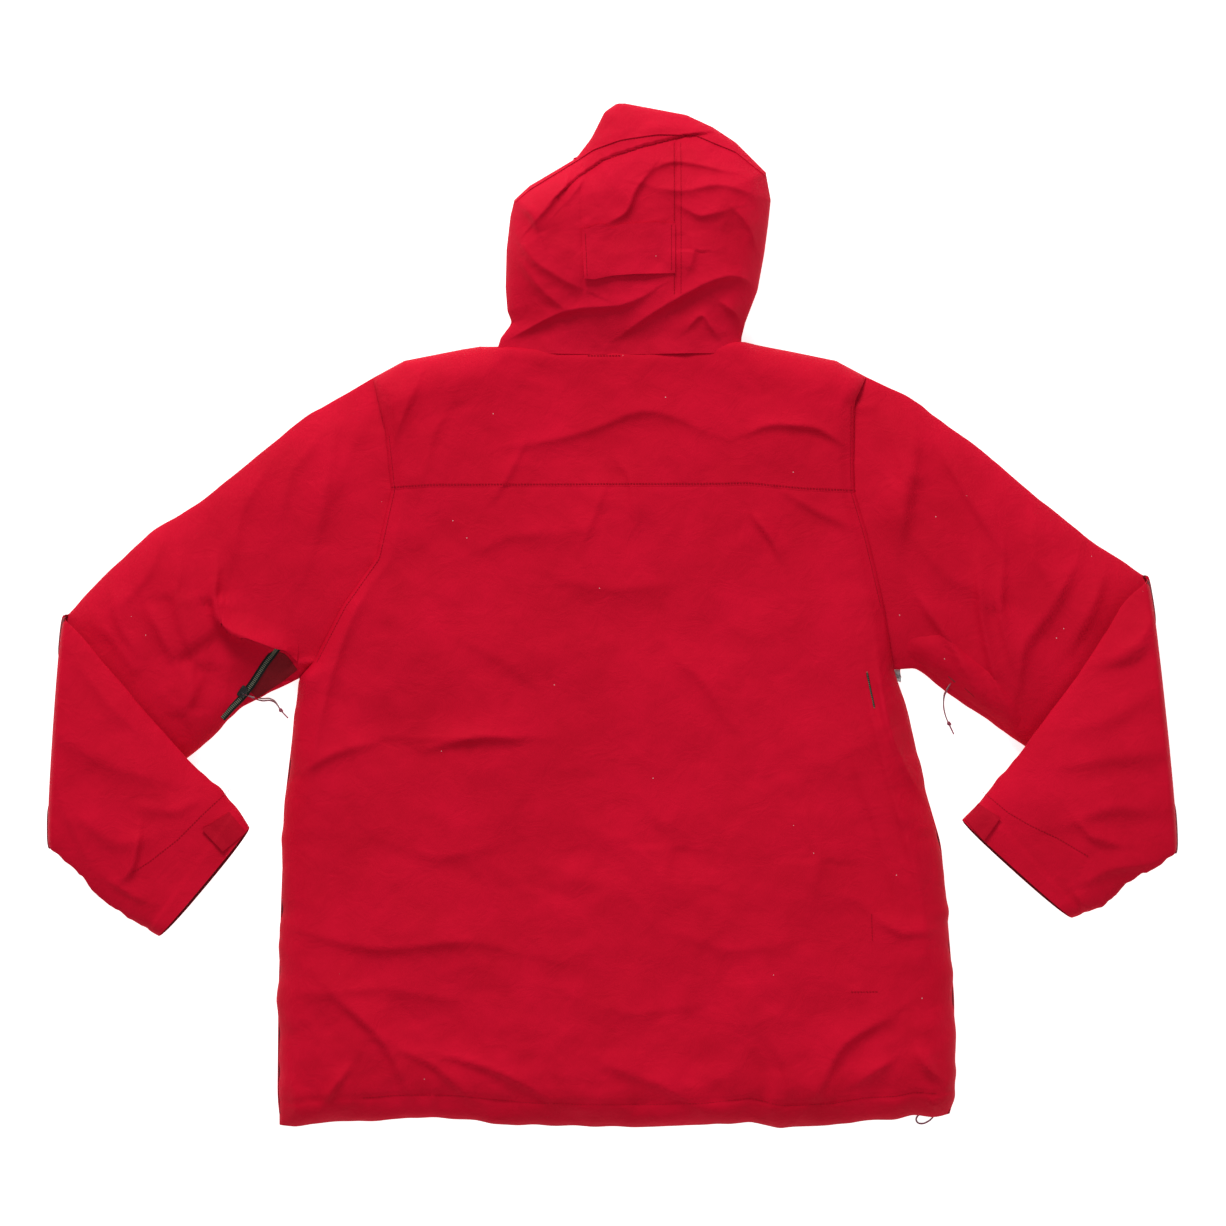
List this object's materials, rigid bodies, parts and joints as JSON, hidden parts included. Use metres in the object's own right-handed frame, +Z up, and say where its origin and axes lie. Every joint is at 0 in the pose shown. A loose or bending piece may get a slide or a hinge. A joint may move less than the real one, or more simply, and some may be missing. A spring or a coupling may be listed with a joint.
{
  "type": "hardshell jacket",
  "caption": "Hooded waterproof hardshell jacket lying face down, with folded sleeves, front zip under a storm flap, pit zips, cuff tabs and a hood tab.",
  "frame": {"origin": "on the table under the middle of the jacket's outline, bottom centre of the bounding box", "axes": "+Z up from the table, +Y from the hem to the hood, +X towards the wearer's right sleeve"},
  "size_m": [1.1897, 1.0748, 0.0679],
  "materials": {
    "shell_red": "matte woven waterproof laminate",
    "hood_red": "matte woven waterproof laminate",
    "lining_grey": "smooth taffeta lining",
    "zip_black": "woven tape with coil teeth",
    "slider_black": "satin black",
    "plastic_black": "moulded satin",
    "cord_pink": "braided cord",
    "hook_red": "hook and loop pile",
    "label_white": "blank woven satin label"
  },
  "bodies": {
    "root": {"back_panel": "shell_red", "back_yoke": "shell_red", "hem_band": "shell_red", "lining_back": "lining_grey", "hanger_loop": "zip_black", "size_label": "label_white", "side_panel_left": "shell_red", "side_panel_right": "shell_red", "front_side_left": "shell_red", "front_side_right": "shell_red", "collar": "lining_grey", "hem_cordlock": "plastic_black", "hem_cord_loop": "cord_pink"},
    "hem_cordlock_button": {"hem_cordlock_button": "plastic_black"},
    "hood": {"hood_center_panel": "hood_red", "hood_side_left": "hood_red", "hood_side_right": "hood_red", "hood_brim": "hood_red", "hood_loop_patch": "hook_red"},
    "hood_tab": {"hood_tab": "hood_red"},
    "storm_flap": {"storm_flap": "shell_red"},
    "front_zip_slider": {"front_zip_slider": "slider_black"},
    "front_zip_pull": {"front_zip_pull": "slider_black"},
    "sleeve_left": {"sleeve_upper_left": "shell_red", "pit_zip_left": "zip_black"},
    "forearm_left": {"sleeve_forearm_left": "shell_red", "cuff_band_left": "shell_red", "forearm_lining_left": "lining_grey", "cuff_loop_patch_left": "hook_red"},
    "cuff_tab_left": {"cuff_tab_left": "shell_red"},
    "pit_slider_left": {"pit_slider_left": "slider_black", "pit_cord_left": "cord_pink"},
    "front_left": {"front_panel_left": "shell_red", "front_zip_tape_left": "zip_black", "front_lining_left": "lining_grey", "pocket_zip_left": "zip_black", "pocket_bag_left": "lining_grey"},
    "pocket_slider_left": {"pocket_slider_left": "slider_black"},
    "pocket_pull_left": {"pocket_pull_left": "slider_black"},
    "sleeve_right": {"sleeve_upper_right": "shell_red", "pit_zip_right": "zip_black"},
    "forearm_right": {"sleeve_forearm_right": "shell_red", "cuff_band_right": "shell_red", "forearm_lining_right": "lining_grey", "cuff_loop_patch_right": "hook_red"},
    "cuff_tab_right": {"cuff_tab_right": "shell_red"},
    "pit_slider_right": {"pit_slider_right": "slider_black", "pit_cord_right": "cord_pink"},
    "front_right": {"front_panel_right": "shell_red", "front_zip_tape_right": "zip_black", "front_lining_right": "lining_grey", "pocket_zip_right": "zip_black", "pocket_bag_right": "lining_grey"},
    "pocket_slider_right": {"pocket_slider_right": "slider_black"},
    "pocket_pull_right": {"pocket_pull_right": "slider_black"}
  },
  "joints": [
    {"name": "hood_fold", "type": "hinge", "parent": "root", "child": "hood", "pos_m": [0.006, 0.282, 0.038], "axis": [1, 0, 0], "range_deg": [0, 110]},
    {"name": "hood_tab_peel", "type": "hinge", "parent": "hood", "child": "hood_tab", "pos_m": [0.0592, 0.3814, 0.0648], "axis": [0.0995, 0.9929, 0.0654], "range_deg": [0, 140]},
    {"name": "shoulder_fold_left", "type": "hinge", "parent": "root", "child": "sleeve_left", "pos_m": [-0.293, 0.0925, 0.038], "axis": [0.2389, 0.971, 0], "range_deg": [0, 90]},
    {"name": "elbow_fold_left", "type": "hinge", "parent": "sleeve_left", "child": "forearm_left", "pos_m": [-0.588, -0.126, 0.0302], "axis": [-0.0654, -0.9979, 0], "range_deg": [0, 180]},
    {"name": "cuff_tab_peel_left", "type": "hinge", "parent": "forearm_left", "child": "cuff_tab_left", "pos_m": [-0.392, -0.214, 0.0644], "axis": [-0.7433, 0.669, 0], "range_deg": [0, 160]},
    {"name": "pit_zip_slide_left", "type": "slide", "parent": "sleeve_left", "child": "pit_slider_left", "axis": [-0.6315, -0.7754, 0], "range_m": [0, 0.03]},
    {"name": "front_open_left", "type": "hinge", "parent": "root", "child": "front_left", "pos_m": [-0.199, -0.1285, 0], "axis": [0.1708, 0.9853, 0], "range_deg": [0, 80]},
    {"name": "pocket_zip_slide_left", "type": "slide", "parent": "front_left", "child": "pocket_slider_left", "axis": [0, -1, 0], "range_m": [0, 0.125]},
    {"name": "pocket_pull_lift_left", "type": "hinge", "parent": "pocket_slider_left", "child": "pocket_pull_left", "pos_m": [-0.185, -0.2842, 0.0004], "axis": [1, 0, 0], "range_deg": [0, 120]},
    {"name": "shoulder_fold_right", "type": "hinge", "parent": "root", "child": "sleeve_right", "pos_m": [0.2805, 0.0975, 0.038], "axis": [0.0934, -0.9956, 0], "range_deg": [0, 90]},
    {"name": "elbow_fold_right", "type": "hinge", "parent": "sleeve_right", "child": "forearm_right", "pos_m": [0.5795, -0.1075, 0.0302], "axis": [-0.0992, 0.9951, 0], "range_deg": [0, 180]},
    {"name": "cuff_tab_peel_right", "type": "hinge", "parent": "forearm_right", "child": "cuff_tab_right", "pos_m": [0.372, -0.206, 0.0644], "axis": [-0.6585, -0.7526, 0], "range_deg": [0, 160]},
    {"name": "pit_zip_slide_right", "type": "slide", "parent": "sleeve_right", "child": "pit_slider_right", "axis": [0.7158, -0.6983, 0], "range_m": [0, 0.03]},
    {"name": "front_open_right", "type": "hinge", "parent": "root", "child": "front_right", "pos_m": [0.199, -0.1285, 0], "axis": [0.1708, -0.9853, 0], "range_deg": [0, 80]},
    {"name": "pocket_zip_slide_right", "type": "slide", "parent": "front_right", "child": "pocket_slider_right", "axis": [0, -1, 0], "range_m": [0, 0.125]},
    {"name": "pocket_pull_lift_right", "type": "hinge", "parent": "pocket_slider_right", "child": "pocket_pull_right", "pos_m": [0.185, -0.2842, 0.0004], "axis": [1, 0, 0], "range_deg": [0, 120]},
    {"name": "storm_flap_open", "type": "hinge", "parent": "front_left", "child": "storm_flap", "pos_m": [-0.038, -0.1, 0.0009], "axis": [0, 1, 0], "range_deg": [0, 150]},
    {"name": "front_zip_slide", "type": "slide", "parent": "front_left", "child": "front_zip_slider", "axis": [0, -1, 0], "range_m": [0, 0.84]},
    {"name": "front_zip_pull_swing", "type": "hinge", "parent": "front_zip_slider", "child": "front_zip_pull", "pos_m": [0, 0.317, 0.0048], "axis": [0, 0, 1], "range_deg": [-30, 30]},
    {"name": "hem_cordlock_press", "type": "slide", "parent": "root", "child": "hem_cordlock_button", "axis": [0, 1, 0], "range_m": [0, 0.002], "stiffness_N_per_m": 300, "springref_m": -0.002}
  ],
  "couplings": [
    {"joint": "front_open_right", "follows": "front_open_left", "ratio": 1}
  ]
}
